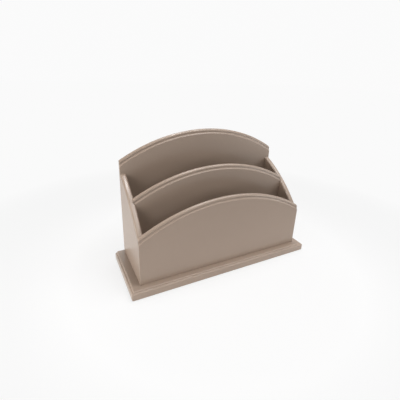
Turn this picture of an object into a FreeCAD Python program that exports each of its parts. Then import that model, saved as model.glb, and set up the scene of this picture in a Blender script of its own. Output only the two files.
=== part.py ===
# Desk rack: six painted boards, butted and housed together on a moulded plinth.
# Three boards with the same arched top stand one behind the other, each taller than the last,
# and two sloping side boards join them. The divider is housed in a groove of each side.
# Frame: millimetres, X to the right, Y to the back, Z up, origin under the middle of the rack.
import FreeCAD, Part
import math
import os

import Sketcher

os.makedirs("parts", exist_ok=True)

SIZES = (
    ("body_width", 260, "over the outer faces of the side boards"),
    ("body_depth", 90, "front face of the front panel to back face of the back panel"),
    ("panel_thickness", 6, "front panel, divider and back panel"),
    ("side_thickness", 8, "side boards"),
    ("front_slot_width", 33.3, "clear gap between front panel and divider"),
    ("dado_depth", 2.3, "depth of the groove that holds an end of the divider"),
    ("arch_rise", 37, "rise of the arch over the full body width"),
    ("front_crown", 104.8, "top of the front panel above the plinth"),
    ("divider_crown", 137.8, "top of the divider above the plinth"),
    ("back_crown", 181.9, "top of the back panel above the plinth"),
    ("side_front_height", 66.7, "side board at the front panel"),
    ("side_back_height", 126.1, "side board at the back panel"),
    ("side_bow", 5.3, "how far the sloping top bows up from a straight line"),
    ("side_round", 2.6, "rounding of both long top edges of a side board"),
    ("quirk_depth", 1.3, "how far the arch moulding steps back from the panel's face"),
    ("nose_height", 4.1, "height of the rounded nose of the arch moulding"),
    ("cove_height", 2.5, "height of the hollow below the nose"),
    ("nose_share", 0.68, "radius of the nose, of the thickness behind the moulding"),
    ("back_arris_share", 0.22, "bevel of the back top edge, of the same thickness"),
    ("side_overhang", 14, "plinth beyond the body, left and right"),
    ("front_overhang", 11, "plinth beyond the body, in front"),
    ("foot_band_height", 9.7, "lower tier of the plinth"),
    ("upper_band_height", 2.1, "upper tier of the plinth"),
    ("tier_step", 2.7, "how far the upper tier is set in at the front and sides"),
    ("foot_round_share", 0.18, "rounding of the lower tier, of its height"),
    ("upper_round_share", 0.76, "rounding of the upper tier, of its height"),
    ("corner_share", 1.15, "rounding of an upright plinth corner, of that tier's rounding"),
    ("felt_thickness", 1, "felt pads under the plinth"),
    ("felt_side", 12, "side of a square felt pad"),
    ("felt_inset", 16, "plinth edge to the middle of a felt pad"),
    ("screw_length", 25, "countersunk screws, up through the plinth into the sides"),
    ("screw_shank", 3, "diameter of the screw"),
    ("screw_head", 5.8, "diameter of its countersunk head"),
    ("screw_tip", 3.5, "length of its point"),
    ("screw_clearance", 0.2, "play around the screw in the plinth, each side"),
    ("screw_share", 0.28, "first screw along the side board, of the board's length"),
    ("recess_span", 3, "cross recess in the screw head, tip to tip"),
    ("recess_width", 0.8, "width of an arm of the cross recess"),
    ("recess_depth", 0.9, "depth of the cross recess"),
    ("pin_length", 20, "headless pins of flat wire, driven and sunk"),
    ("pin_width", 0.95, "across the flat of the wire"),
    ("pin_breadth", 0.8, "through the flat of the wire"),
    ("pin_tip", 1.6, "length of a pin's chisel point"),
    ("pin_cover", 1, "filler over a sunk pin"),
    ("pin_share", 0.16, "lowest pin up the edge of a side board, of that edge's height"),
    ("wall_share", 0.45, "most that one rounding may take of a board's thickness"),
)
FRONT_PINS = 2
BACK_PINS = 3
DIVIDER_PINS = 2
HALF_TURN = 180
FULL_TURN = 360
TOUCH = 1e-4
UP = FreeCAD.Vector(0, 0, 1)

doc = FreeCAD.newDocument("desk_rack")
sheet = doc.addObject("Spreadsheet::Sheet", "sizes")
for row, (alias, length, note) in enumerate(SIZES, start=1):
    sheet.set(f"A{row}", alias)
    sheet.set(f"B{row}", str(length))
    sheet.setAlias(f"B{row}", alias)
    sheet.set(f"C{row}", note)
doc.recompute()

# What several boards share, in the sheet's own words.
BODY_FRONT = "(sizes.front_overhang - sizes.body_depth) / 2"
BODY_FLOOR = "sizes.felt_thickness + sizes.foot_band_height + sizes.upper_band_height"
PLINTH_HEIGHT = "(sizes.foot_band_height + sizes.upper_band_height)"
PLINTH_WIDTH = "(sizes.body_width + 2 * sizes.side_overhang)"
PLINTH_DEPTH = "(sizes.body_depth + sizes.front_overhang)"
SIDE_LENGTH = "(sizes.body_depth - 2 * sizes.panel_thickness)"
SIDE_MIDDLE = "(sizes.body_width - sizes.side_thickness) / 2"
ARCH_RADIUS = "(((sizes.body_width / 2) ^ 2 + sizes.arch_rise ^ 2) / (2 * sizes.arch_rise))"
DIVIDER_HALF = "(sizes.body_width / 2 - sizes.side_thickness + sizes.dado_depth)"
DIVIDER_MIDDLE = "(sizes.front_slot_width + sizes.panel_thickness / 2)"
SIDE_AT_DIVIDER = (
    "(sizes.side_front_height + (sizes.side_back_height - sizes.side_front_height)"
    f" * {DIVIDER_MIDDLE} / {SIDE_LENGTH})"
)
PIN_IN_SIDE = "(sizes.pin_length - sizes.panel_thickness + sizes.pin_cover)"
PIN_IN_DIVIDER = "(sizes.pin_length - sizes.side_thickness + sizes.dado_depth + sizes.pin_cover)"
MOULDED_WALL = "(sizes.panel_thickness - sizes.quirk_depth)"


def value(expression):
    """The number that an expression in the sheet's sizes comes to."""
    return float(sheet.evalExpression(expression))


def new_body(label, across="0", back="0", up="0"):
    """A board or fastener of its own, with its origin placed in the rack."""
    body = doc.addObject("PartDesign::Body", label)
    body.Label = label
    for axis, expression in (("x", across), ("y", back), ("z", up)):
        body.setExpression(f"Placement.Base.{axis}", expression)
    return body


def new_sketch(body, name, role, shift=None, offset="0"):
    """A sketch on one of the body's own planes, moved along the plane's normal by offset."""
    sketch = body.newObject("Sketcher::SketchObject", name)
    plane = next(feature for feature in body.Origin.OriginFeatures if feature.Role == role)
    sketch.AttachmentSupport = [(plane, "")]
    sketch.MapMode = "FlatFace"
    sketch.setExpression("AttachmentOffset.Base.z", offset)
    if shift:
        sketch.setExpression("AttachmentOffset.Base.y", shift)
    return sketch


def hold_point(sketch, edge, end, point):
    """Ties one end of an edge to its place, given as two expressions."""
    for kind, axis, expression in (("DistanceX", -2, point[0]), ("DistanceY", -1, point[1])):
        if expression == "0":
            sketch.addConstraint(Sketcher.Constraint("PointOnObject", edge, end, axis))
            continue
        tie = Sketcher.Constraint(kind, -1, 1, edge, end, value(expression))
        sketch.setExpression(f"Constraints[{sketch.addConstraint(tie)}]", expression)


def draw_outline(sketch, points, bends=None):
    """A closed outline through points; bends gives an edge its radius, left of the path if positive.

    Points are pairs of expressions. A bend is (sign, expression) under the number of its edge.
    """
    bends = bends or {}
    places = [FreeCAD.Vector(value(x), value(y), 0) for x, y in points]
    ends = []
    for number, start in enumerate(places):
        stop = places[(number + 1) % len(places)]
        if number not in bends:
            edge = sketch.addGeometry(Part.LineSegment(start, stop), False)
            ends.append((edge, 1, 2))
            continue
        sign, expression = bends[number]
        radius = value(expression)
        chord = stop - start
        reach = math.sqrt(radius ** 2 - (chord.Length / 2) ** 2)
        centre = (start + stop) / 2 + UP.cross(chord).normalize() * reach * sign
        first, last = (start, stop) if sign > 0 else (stop, start)
        angles = [math.atan2(p.y - centre.y, p.x - centre.x) for p in (first, last)]
        arc = Part.ArcOfCircle(Part.Circle(centre, UP, radius), angles[0], angles[1])
        edge = sketch.addGeometry(arc, False)
        ends.append((edge, 1, 2) if sign > 0 else (edge, 2, 1))
        tie = Sketcher.Constraint("Radius", edge, radius)
        sketch.setExpression(f"Constraints[{sketch.addConstraint(tie)}]", expression)
    for number, (edge, start_end, stop_end) in enumerate(ends):
        following, following_start, _ = ends[(number + 1) % len(ends)]
        sketch.addConstraint(
            Sketcher.Constraint("Coincident", edge, stop_end, following, following_start))
        hold_point(sketch, edge, start_end, points[number])


def draw_circles(sketch, places, diameter):
    """A circle of the given diameter at each place."""
    for place in places:
        centre = FreeCAD.Vector(value(place[0]), value(place[1]), 0)
        circle = Part.Circle(centre, UP, value(diameter) / 2)
        edge = sketch.addGeometry(circle, False)
        tie = Sketcher.Constraint("Diameter", edge, value(diameter))
        sketch.setExpression(f"Constraints[{sketch.addConstraint(tie)}]", diameter)
        hold_point(sketch, edge, 3, place)


def draw_pin_holes(sketch, places):
    """The section of a pin's wire at each place."""
    wide = "sizes.pin_width / 2"
    high = "sizes.pin_breadth / 2"
    for across, up in places:
        draw_outline(sketch, [
            (f"{across} - {wide}", f"{up} - {high}"), (f"{across} + {wide}", f"{up} - {high}"),
            (f"{across} + {wide}", f"{up} + {high}"), (f"{across} - {wide}", f"{up} + {high}")])


def pad(body, name, sketch, length, reverse=False, midplane=False):
    """Raises a sketch to a solid."""
    feature = body.newObject("PartDesign::Pad", name)
    feature.Profile = sketch
    feature.Reversed = reverse
    feature.Midplane = midplane
    feature.setExpression("Length", length)
    doc.recompute()
    return feature


def drill(body, name, sketch, depth, reverse=False):
    """Cuts a sketch into the body, and stops if the cut misses it."""
    before = body.Shape.Volume
    feature = body.newObject("PartDesign::Pocket", name)
    feature.Profile = sketch
    feature.Reversed = reverse
    feature.setExpression("Length", depth)
    doc.recompute()
    if not feature.Shape.Volume < before:
        raise RuntimeError(f"{name} takes nothing from {body.Label}")
    return feature


def break_edges(body, name, chosen, kind, measure, size):
    """Rounds or bevels the edges of the body's present shape that the test chosen picks."""
    base = body.Tip
    numbered = enumerate(base.Shape.Edges, start=1)
    names = [f"Edge{number}" for number, edge in numbered if chosen(edge)]
    feature = body.newObject(f"PartDesign::{kind}", name)
    feature.Base = (base, names)
    feature.setExpression(measure, size)
    doc.recompute()


def round_edges(body, name, chosen, radius):
    break_edges(body, name, chosen, "Fillet", "Radius", radius)


def is_near(first, second):
    return abs(first - second) < TOUCH


def is_arc(edge):
    return isinstance(edge.Curve, Part.Circle)


def rising(count, height):
    """Heights of pins spread evenly up an edge, as far from its top as from its foot."""
    gap = f"{height} * (1 - 2 * sizes.pin_share) / {count - 1}"
    return [f"{height} * sizes.pin_share + {step} * {gap}" for step in range(count)]


# Plinth: one board with a stepped, rounded edge at the front and sides and a flush back.
# Its origin is under the middle of the body and plinth together.
def tier_outline(inset):
    half = f"{PLINTH_WIDTH} / 2 - {inset}"
    front = f"-{PLINTH_DEPTH} / 2 + {inset}"
    back = f"{PLINTH_DEPTH} / 2"
    return [(f"-({half})", front), (half, front), (half, back), (f"-({half})", back)]


def is_front_corner(edge, low, high):
    box = edge.BoundBox
    upright = is_near(box.ZMin, value(low)) and is_near(box.ZMax, value(high))
    return upright and is_near(box.XLength + box.YLength, 0) and box.YMax < 0


def is_tier_rim(edge, height):
    box = edge.BoundBox
    level = is_near(box.ZMin, value(height)) and is_near(box.ZMax, value(height))
    return level and not is_near(box.YMin, value(f"{PLINTH_DEPTH} / 2"))


FOOT_ROUND = "sizes.foot_band_height * sizes.foot_round_share"
UPPER_ROUND = "sizes.upper_band_height * sizes.upper_round_share"
plinth = new_body("base_plinth", up="sizes.felt_thickness")
foot_plan = new_sketch(plinth, "foot_plan", "XY_Plane")
draw_outline(foot_plan, tier_outline("0"))
pad(plinth, "foot_band", foot_plan, "sizes.foot_band_height")
round_edges(plinth, "foot_corners", lambda edge: is_front_corner(edge, "0", "sizes.foot_band_height"),
            f"{FOOT_ROUND} * sizes.corner_share")
round_edges(plinth, "foot_rounding", lambda edge: is_tier_rim(edge, "sizes.foot_band_height"),
            FOOT_ROUND)
upper_plan = new_sketch(plinth, "upper_plan", "XY_Plane", offset="sizes.foot_band_height")
draw_outline(upper_plan, tier_outline("sizes.tier_step"))
pad(plinth, "upper_band", upper_plan, "sizes.upper_band_height")
round_edges(plinth, "upper_corners",
            lambda edge: is_front_corner(edge, "sizes.foot_band_height", PLINTH_HEIGHT),
            f"{UPPER_ROUND} * sizes.corner_share")
round_edges(plinth, "upper_rounding", lambda edge: is_tier_rim(edge, PLINTH_HEIGHT), UPPER_ROUND)

# Countersunk screw holes through the plinth, two under each side board.
SCREW_PLACES_ALONG = (
    f"{SIDE_LENGTH} * sizes.screw_share",
    f"{SIDE_LENGTH} * (1 - sizes.screw_share)",
)
SIDE_START = f"{BODY_FRONT} + sizes.panel_thickness"
hole_plan = new_sketch(plinth, "screw_hole_plan", "XY_Plane")
draw_circles(
    hole_plan,
    [(f"{sign} * {SIDE_MIDDLE}", f"{SIDE_START} + {along}")
     for sign in (-1, 1) for along in SCREW_PLACES_ALONG],
    "sizes.screw_shank + 2 * sizes.screw_clearance")
screw_holes = plinth.newObject("PartDesign::Hole", "screw_holes")
screw_holes.Profile = hole_plan
doc.recompute()
solid_plinth = plinth.Shape.Volume
screw_holes.Reversed = True
screw_holes.ThreadType = "None"
screw_holes.DepthType = "ThroughAll"
screw_holes.HoleCutType = "Countersink"
screw_holes.HoleCutCustomValues = True
screw_holes.HoleCutCountersinkAngle = HALF_TURN / 2
screw_holes.setExpression("Diameter", "sizes.screw_shank + 2 * sizes.screw_clearance")
screw_holes.setExpression("HoleCutDiameter", "sizes.screw_head")
doc.recompute()


# Arched panels: one template for all three, its top an arc of one radius, and the same
# moulding run along the front of each arch. A panel's origin is at the foot of its front face.
def arched_panel(label, back, crown, half_width):
    body = new_body(label, back=back, up=BODY_FLOOR)
    shoulder = f"{crown} - {ARCH_RADIUS} + sqrt({ARCH_RADIUS} ^ 2 - {half_width} ^ 2)"
    face = new_sketch(body, f"{label}_face", "XZ_Plane")
    draw_outline(
        face,
        [(f"-{half_width}", "0"), (half_width, "0"), (half_width, shoulder),
         (f"-{half_width}", shoulder)],
        {2: (1, ARCH_RADIUS)})
    pad(body, f"{label}_board", face, "sizes.panel_thickness", reverse=True)
    run_moulding(body, label, crown)
    back_face = value("sizes.panel_thickness")
    break_edges(
        body, f"{label}_back_arris",
        lambda edge: is_arc(edge) and is_near(edge.BoundBox.YMin, back_face)
        and is_near(edge.BoundBox.YMax, back_face),
        "Chamfer", "Size", f"{MOULDED_WALL} * sizes.back_arris_share")
    return body


# The moulding is an ogee: a rounded nose at the top, set back from the face, and a hollow
# below it that runs out to a crisp edge. The cutter turns about the centre of the arch.
def run_moulding(body, label, crown):
    profile = new_sketch(body, f"{label}_moulding", "YZ_Plane", shift=f"{crown} - {ARCH_RADIUS}")
    nose = f"{MOULDED_WALL} * sizes.nose_share"
    cove = "((sizes.quirk_depth ^ 2 + sizes.cove_height ^ 2) / (2 * sizes.quirk_depth))"
    clear = "sizes.quirk_depth"
    foot = f"{ARCH_RADIUS} - sizes.nose_height - sizes.cove_height"
    draw_outline(
        profile,
        [("0", foot),
         ("sizes.quirk_depth", f"{ARCH_RADIUS} - sizes.nose_height"),
         ("sizes.quirk_depth", f"{ARCH_RADIUS} - {nose}"),
         (f"sizes.quirk_depth + {nose}", ARCH_RADIUS),
         (f"sizes.quirk_depth + {nose}", f"{ARCH_RADIUS} + {clear}"),
         (f"-{clear}", f"{ARCH_RADIUS} + {clear}"),
         (f"-{clear}", foot)],
        {0: (1, cove), 2: (-1, nose)})
    before = body.Shape.Volume
    groove = body.newObject("PartDesign::Groove", f"{label}_ogee")
    groove.Profile = profile
    groove.ReferenceAxis = (profile, ["H_Axis"])
    groove.Angle = HALF_TURN
    groove.Midplane = True
    doc.recompute()
    if not groove.Shape.Volume < before:
        raise RuntimeError(f"the moulding takes nothing from {label}")


BODY_HALF = "sizes.body_width / 2"
front = arched_panel("front_panel", BODY_FRONT, "sizes.front_crown", f"({BODY_HALF})")
divider = arched_panel("middle_divider", f"{SIDE_START} + sizes.front_slot_width",
                       "sizes.divider_crown", DIVIDER_HALF)
back = arched_panel("back_panel", f"{SIDE_START} + {SIDE_LENGTH}", "sizes.back_crown",
                    f"({BODY_HALF})")

# Pin holes: in the front and back panels they stop short of the outer face, where the
# sunk pin is filled and painted over, and in the divider they run in from each end.
FRONT_LEVELS = rising(FRONT_PINS, "sizes.side_front_height")
BACK_LEVELS = rising(BACK_PINS, "sizes.side_back_height")
DIVIDER_LEVELS = rising(DIVIDER_PINS, SIDE_AT_DIVIDER)
PIN_WALL = "sizes.panel_thickness - sizes.pin_cover"
front_holes = new_sketch(front, "front_pin_holes", "XZ_Plane", offset="-sizes.pin_cover")
draw_pin_holes(front_holes, [(f"{sign} * {SIDE_MIDDLE}", level) for sign in (-1, 1)
                             for level in FRONT_LEVELS])
drill(front, "front_pin_bores", front_holes, PIN_WALL)
back_holes = new_sketch(back, "back_pin_holes", "XZ_Plane")
draw_pin_holes(back_holes, [(f"{sign} * {SIDE_MIDDLE}", level) for sign in (-1, 1)
                            for level in BACK_LEVELS])
drill(back, "back_pin_bores", back_holes, PIN_WALL)
end_holes = new_sketch(divider, "divider_pin_holes", "YZ_Plane", offset=DIVIDER_HALF)
draw_pin_holes(end_holes, [("sizes.panel_thickness / 2", level) for level in DIVIDER_LEVELS])
right_bores = drill(divider, "divider_pin_bores", end_holes, PIN_IN_DIVIDER)
left_bores = divider.newObject("PartDesign::Mirrored", "left_pin_bores")
left_bores.Originals = [right_bores]
middle_plane = next(f for f in divider.Origin.OriginFeatures if f.Role == "YZ_Plane")
left_bores.MirrorPlane = (middle_plane, [""])
divider.Tip = left_bores
doc.recompute()


# Side boards: a long bowed slope with both top edges rounded, a groove for the divider in
# the inner face, and holes for the screws and pins. The origin is low at the front of the
# inner face, and outward is -1 for the left board and 1 for the right one.
def side_board(label, outward):
    inner_face = f"{outward} * (sizes.body_width / 2 - sizes.side_thickness)"
    body = new_body(label, across=inner_face, back=SIDE_START, up=BODY_FLOOR)
    rise = "(sizes.side_back_height - sizes.side_front_height)"
    slope = (f"((({SIDE_LENGTH} ^ 2 + {rise} ^ 2) / 4 + sizes.side_bow ^ 2)"
             " / (2 * sizes.side_bow))")
    profile = new_sketch(body, f"{label}_profile", "YZ_Plane")
    draw_outline(
        profile,
        [("0", "0"), (SIDE_LENGTH, "0"), (SIDE_LENGTH, "sizes.side_back_height"),
         ("0", "sizes.side_front_height")],
        {2: (1, slope)})
    pad(body, f"{label}_board", profile, "sizes.side_thickness", reverse=outward < 0)
    round_edges(body, f"{label}_rounding", is_arc,
                "min(sizes.side_round; sizes.wall_share * sizes.side_thickness)")
    dado = new_sketch(body, f"{label}_dado_plan", "YZ_Plane")
    start = "sizes.front_slot_width"
    end = "sizes.front_slot_width + sizes.panel_thickness"
    top = "sizes.divider_crown"
    draw_outline(dado, [(start, "0"), (end, "0"), (end, top), (start, top)])
    drill(body, f"{label}_dado", dado, "sizes.dado_depth", reverse=outward > 0)
    bore_side(body, label, outward)
    return body


def bore_side(body, label, outward):
    middle = f"{outward} * sizes.side_thickness / 2"
    screws = new_sketch(body, f"{label}_screw_holes", "XY_Plane")
    draw_circles(screws, [(middle, along) for along in SCREW_PLACES_ALONG], "sizes.screw_shank")
    drill(body, f"{label}_screw_bores", screws, f"sizes.screw_length - {PLINTH_HEIGHT}",
          reverse=True)
    front_edge = new_sketch(body, f"{label}_front_holes", "XZ_Plane")
    draw_pin_holes(front_edge, [(middle, level) for level in FRONT_LEVELS])
    drill(body, f"{label}_front_bores", front_edge, PIN_IN_SIDE)
    back_edge = new_sketch(body, f"{label}_back_holes", "XZ_Plane", offset=f"-{SIDE_LENGTH}")
    draw_pin_holes(back_edge, [(middle, level) for level in BACK_LEVELS])
    drill(body, f"{label}_back_bores", back_edge, PIN_IN_SIDE, reverse=True)
    housing = new_sketch(body, f"{label}_divider_holes", "YZ_Plane")
    draw_pin_holes(housing, [(DIVIDER_MIDDLE, level) for level in DIVIDER_LEVELS])
    drill(body, f"{label}_divider_bores", housing, "sizes.side_thickness - sizes.pin_cover",
          reverse=outward > 0)


left = side_board("left_side", -1)
right = side_board("right_side", 1)


# Fasteners: groups of like pins and screws, each group one body of separate solids.
def wire_pin(label, start, sign, lies_on_y, across="0", back="0", up="0"):
    """A pin from its sunk end at start to its chisel point, sign giving the way it points."""
    body = new_body(label, across=across, back=back, up=up)
    side_view = new_sketch(body, f"{label}_outline", "XY_Plane")
    half = "sizes.pin_width / 2"
    shoulder = f"{start} + {sign} * (sizes.pin_length - sizes.pin_tip)"
    point = f"{start} + {sign} * sizes.pin_length"
    corners = [(start, f"-{half}"), (shoulder, f"-{half}"), (point, "0"), (shoulder, half),
               (start, half)]
    if lies_on_y:
        corners = [(side, along) for along, side in corners]
    draw_outline(side_view, corners)
    wire = pad(body, f"{label}_wire", side_view, "sizes.pin_breadth", midplane=True)
    return body, wire


def spread(body, name, role, extent, count, second_role=None, second_extent=None, second_count=1):
    """Repeats the whole fastener along one or two of the body's axes."""
    pattern = body.newObject("PartDesign::LinearPattern", name)
    pattern.TransformMode = "Whole shape"
    axes = {feature.Role: feature for feature in body.Origin.OriginFeatures}
    pattern.Direction = (axes[role], [""])
    pattern.setExpression("Length", extent)
    pattern.Occurrences = count
    if second_role:
        pattern.Direction2 = (axes[second_role], [""])
        pattern.setExpression("Length2", second_extent)
        pattern.Occurrences2 = second_count
    body.Tip = pattern
    doc.recompute()


SPREAD_ACROSS = "sizes.body_width - sizes.side_thickness"
SPREAD_UP = "* (1 - 2 * sizes.pin_share)"
front_pins, _ = wire_pin(
    "front_panel_pins", "0", 1, True, across=f"-{SIDE_MIDDLE}",
    back=f"{BODY_FRONT} + sizes.pin_cover", up=f"{BODY_FLOOR} + {FRONT_LEVELS[0]}")
spread(front_pins, "front_pin_spread", "X_Axis", SPREAD_ACROSS, 2,
       "Z_Axis", f"sizes.side_front_height {SPREAD_UP}", FRONT_PINS)
back_pins, _ = wire_pin(
    "back_panel_pins", "0", -1, True, across=f"-{SIDE_MIDDLE}",
    back=f"{PLINTH_DEPTH} / 2 - sizes.pin_cover", up=f"{BODY_FLOOR} + {BACK_LEVELS[0]}")
spread(back_pins, "back_pin_spread", "X_Axis", SPREAD_ACROSS, 2,
       "Z_Axis", f"sizes.side_back_height {SPREAD_UP}", BACK_PINS)

# The divider's pins point inwards from both sides, so one is mirrored before they are spread.
divider_pins, first_pin = wire_pin(
    "divider_pins", "-sizes.body_width / 2 + sizes.pin_cover", 1, False,
    back=f"{SIDE_START} + {DIVIDER_MIDDLE}", up=f"{BODY_FLOOR} + {DIVIDER_LEVELS[0]}")
opposite_pin = divider_pins.newObject("PartDesign::Mirrored", "opposite_pin")
opposite_pin.Originals = [first_pin]
pin_plane = next(f for f in divider_pins.Origin.OriginFeatures if f.Role == "YZ_Plane")
opposite_pin.MirrorPlane = (pin_plane, [""])
divider_pins.Tip = opposite_pin
doc.recompute()
spread(divider_pins, "divider_pin_spread", "Z_Axis", f"{SIDE_AT_DIVIDER} {SPREAD_UP}", DIVIDER_PINS)

# Countersunk screws with a cross recess, driven flush with the underside of the plinth.
HEAD_HEIGHT = "(sizes.screw_head - sizes.screw_shank) / 2"
screws = new_body("base_screws", across=f"-{SIDE_MIDDLE}",
                  back=f"{SIDE_START} + {SCREW_PLACES_ALONG[0]}", up="sizes.felt_thickness")
screw_half = new_sketch(screws, "screw_half_outline", "XZ_Plane")
draw_outline(screw_half, [
    ("0", "0"), ("sizes.screw_head / 2", "0"), ("sizes.screw_shank / 2", HEAD_HEIGHT),
    ("sizes.screw_shank / 2", "sizes.screw_length - sizes.screw_tip"),
    ("0", "sizes.screw_length")])
turning = screws.newObject("PartDesign::Revolution", "screw_turning")
turning.Profile = screw_half
turning.ReferenceAxis = (screw_half, ["V_Axis"])
turning.Angle = FULL_TURN
doc.recompute()
recess = new_sketch(screws, "cross_recess", "XY_Plane")
ARM = "sizes.recess_span / 2"
WEB = "sizes.recess_width / 2"
draw_outline(recess, [
    (ARM, f"-{WEB}"), (ARM, WEB), (WEB, WEB), (WEB, ARM), (f"-{WEB}", ARM), (f"-{WEB}", WEB),
    (f"-{ARM}", WEB), (f"-{ARM}", f"-{WEB}"), (f"-{WEB}", f"-{WEB}"), (f"-{WEB}", f"-{ARM}"),
    (WEB, f"-{ARM}"), (WEB, f"-{WEB}")])
drill(screws, "cross_recess_cut", recess, "sizes.recess_depth", reverse=True)
spread(screws, "screw_spread", "X_Axis", SPREAD_ACROSS, 2,
       "Y_Axis", f"{SIDE_LENGTH} * (1 - 2 * sizes.screw_share)", 2)

# Felt pads, one near each corner under the plinth.
for depth_name, toward_back in (("front", -1), ("back", 1)):
    for width_name, toward_right in (("left", -1), ("right", 1)):
        label = f"felt_pad_{depth_name}_{width_name}"
        felt = doc.addObject("Part::Box", label)
        felt.Label = label
        felt.setExpression("Length", "sizes.felt_side")
        felt.setExpression("Width", "sizes.felt_side")
        felt.setExpression("Height", "sizes.felt_thickness")
        across = f"{toward_right} * ({PLINTH_WIDTH} / 2 - sizes.felt_inset) - sizes.felt_side / 2"
        back_by = f"{toward_back} * ({PLINTH_DEPTH} / 2 - sizes.felt_inset) - sizes.felt_side / 2"
        felt.setExpression("Placement.Base.x", across)
        felt.setExpression("Placement.Base.y", back_by)
doc.recompute()

# Every object has to be whole before a part is written.
for item in doc.Objects:
    if "Invalid" in item.State or "Error" in item.State:
        raise RuntimeError(f"{item.Label} has not been worked out: {item.State}")
if not plinth.Shape.Volume < solid_plinth:
    raise RuntimeError("the screw holes take nothing from the plinth")
parts = [item for item in doc.Objects
         if item.TypeId in ("PartDesign::Body", "Part::Box")]
for part in parts:
    if part.Shape.isNull() or not part.Shape.isValid():
        raise RuntimeError(f"{part.Label} is not a valid solid")
    part.Shape.exportStep(os.path.join("parts", f"{part.Label}.step"))
    box = part.Shape.optimalBoundingBox()
    print(f"{part.Label}: {len(part.Shape.Solids)} solid(s), {part.Shape.Volume:.1f} mm3, "
          f"x {box.XMin:.2f} to {box.XMax:.2f}, y {box.YMin:.2f} to {box.YMax:.2f}, "
          f"z {box.ZMin:.2f} to {box.ZMax:.2f}")
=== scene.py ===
import math

import bmesh
import bpy
from mathutils import Matrix, Vector


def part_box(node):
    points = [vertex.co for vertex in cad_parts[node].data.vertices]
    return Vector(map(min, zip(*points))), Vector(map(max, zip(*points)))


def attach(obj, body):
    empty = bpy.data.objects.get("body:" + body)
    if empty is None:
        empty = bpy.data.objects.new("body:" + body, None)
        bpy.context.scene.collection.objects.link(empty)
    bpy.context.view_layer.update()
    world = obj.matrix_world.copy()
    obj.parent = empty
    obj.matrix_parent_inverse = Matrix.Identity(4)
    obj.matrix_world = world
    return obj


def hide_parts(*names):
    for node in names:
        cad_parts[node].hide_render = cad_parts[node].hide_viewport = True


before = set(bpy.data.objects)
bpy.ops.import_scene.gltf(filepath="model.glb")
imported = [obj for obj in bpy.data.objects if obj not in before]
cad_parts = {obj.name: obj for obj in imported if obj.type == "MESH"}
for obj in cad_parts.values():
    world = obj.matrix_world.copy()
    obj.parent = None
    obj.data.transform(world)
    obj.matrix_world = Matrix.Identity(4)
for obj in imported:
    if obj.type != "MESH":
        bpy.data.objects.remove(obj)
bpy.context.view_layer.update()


# Plinth: one board, its front and both ends moulded in two rounded tiers and its back left
# square. It is sanded, primed and sprayed with a satin taupe paint, as every board here is,
# and the boards above are screwed and glued to it.
MM = 0.001
TAUPE = (0.318, 0.240, 0.187, 1)
# The lighter taupe for the arrises: partly thinner paint, partly a painted highlight.
ARRIS_HIGHLIGHT_TAUPE = (0.385, 0.302, 0.246, 1)


def add_node(tree, kind, *inputs, **settings):
    """Adds a node with its settings; inputs are nodes, sockets or plain values, in order."""
    node = tree.nodes.new(kind)
    for name, choice in settings.items():
        setattr(node, name, choice)
    open_sockets = [socket for socket in node.inputs if socket.enabled]
    for socket, source in zip(open_sockets, inputs):
        feed(tree, socket, source)
    return node


def feed(tree, socket, source):
    """Gives a socket its value, or links it to a socket or to a node's first output."""
    if source is None:
        return
    if isinstance(source, bpy.types.Node):
        source = next(output for output in source.outputs if output.enabled)
    if isinstance(source, bpy.types.NodeSocket):
        tree.links.new(source, socket)
    else:
        socket.default_value = source


def sums(tree, operation, first, second=None, third=None):
    """Works out a sum, a product or the like from up to three values."""
    return add_node(tree, "ShaderNodeMath", first, second, third, operation=operation)


def blend_colours(tree, amount, first, second):
    """Goes from the first colour to the second as the amount goes from 0 to 1."""
    return add_node(tree, "ShaderNodeMix", amount, first, second, data_type="RGBA")


def remap(tree, source, low, high, new_low, new_high):
    """Stretches the range from low to high onto a new range, and stops at its ends."""
    return add_node(tree, "ShaderNodeMapRange", source, low, high, new_low, new_high)


def scaled(tree, vector, factor):
    """Multiplies a vector or a colour by one number."""
    product = add_node(tree, "ShaderNodeVectorMath", vector, operation="SCALE")
    feed(tree, product.inputs["Scale"], factor)
    return product


def noise(tree, place, scale, detail=2, distortion=0):
    """A noise pattern; its scale is about how many lumps it has in a metre."""
    pattern = add_node(tree, "ShaderNodeTexNoise", place)
    feed(tree, pattern.inputs["Scale"], scale)
    pattern.inputs["Detail"].default_value = detail
    pattern.inputs["Distortion"].default_value = distortion
    return pattern


def add_relief(tree, shader, height, strength, depth):
    """Lets a height pattern raise the shaded surface by up to a depth."""
    relief = add_node(tree, "ShaderNodeBump")
    relief.inputs["Strength"].default_value = strength
    relief.inputs["Distance"].default_value = depth
    feed(tree, relief.inputs["Height"], height)
    feed(tree, shader.inputs["Normal"], relief)


def new_group(name, kind, inputs, outputs):
    """A node group with named sockets; each input is (name, kind of socket, value)."""
    group = bpy.data.node_groups.new(name, kind)
    for label, socket_kind, start in inputs:
        socket = group.interface.new_socket(label, in_out="INPUT", socket_type=socket_kind)
        if start is not None:
            socket.default_value = start
    for label, socket_kind in outputs:
        group.interface.new_socket(label, in_out="OUTPUT", socket_type=socket_kind)
    return group, group.nodes.new("NodeGroupInput"), group.nodes.new("NodeGroupOutput")


# How many lumps each pattern of the sprayed paint has in a metre, and how far each pattern
# moves the tone, the sheen or the relief.
CLOUD_SCALE = 11
CLOUD_SHARE = 1.4
MOTTLE_SCALE = 170
MOTTLE_SHARE = 0.5
STIPPLE_SCALE = 950
WAVE_SCALE = 60
WAVE_SHARE = 1.5
NIB_SCALE = 85
NIB_SHARE = 0.8
BARE_OF_NIBS = 0.86
ARRIS_WIDTH = 0.7 * MM
GLOSS_DRIFT = 0.05
ARRIS_DULLNESS = 0.12


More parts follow.
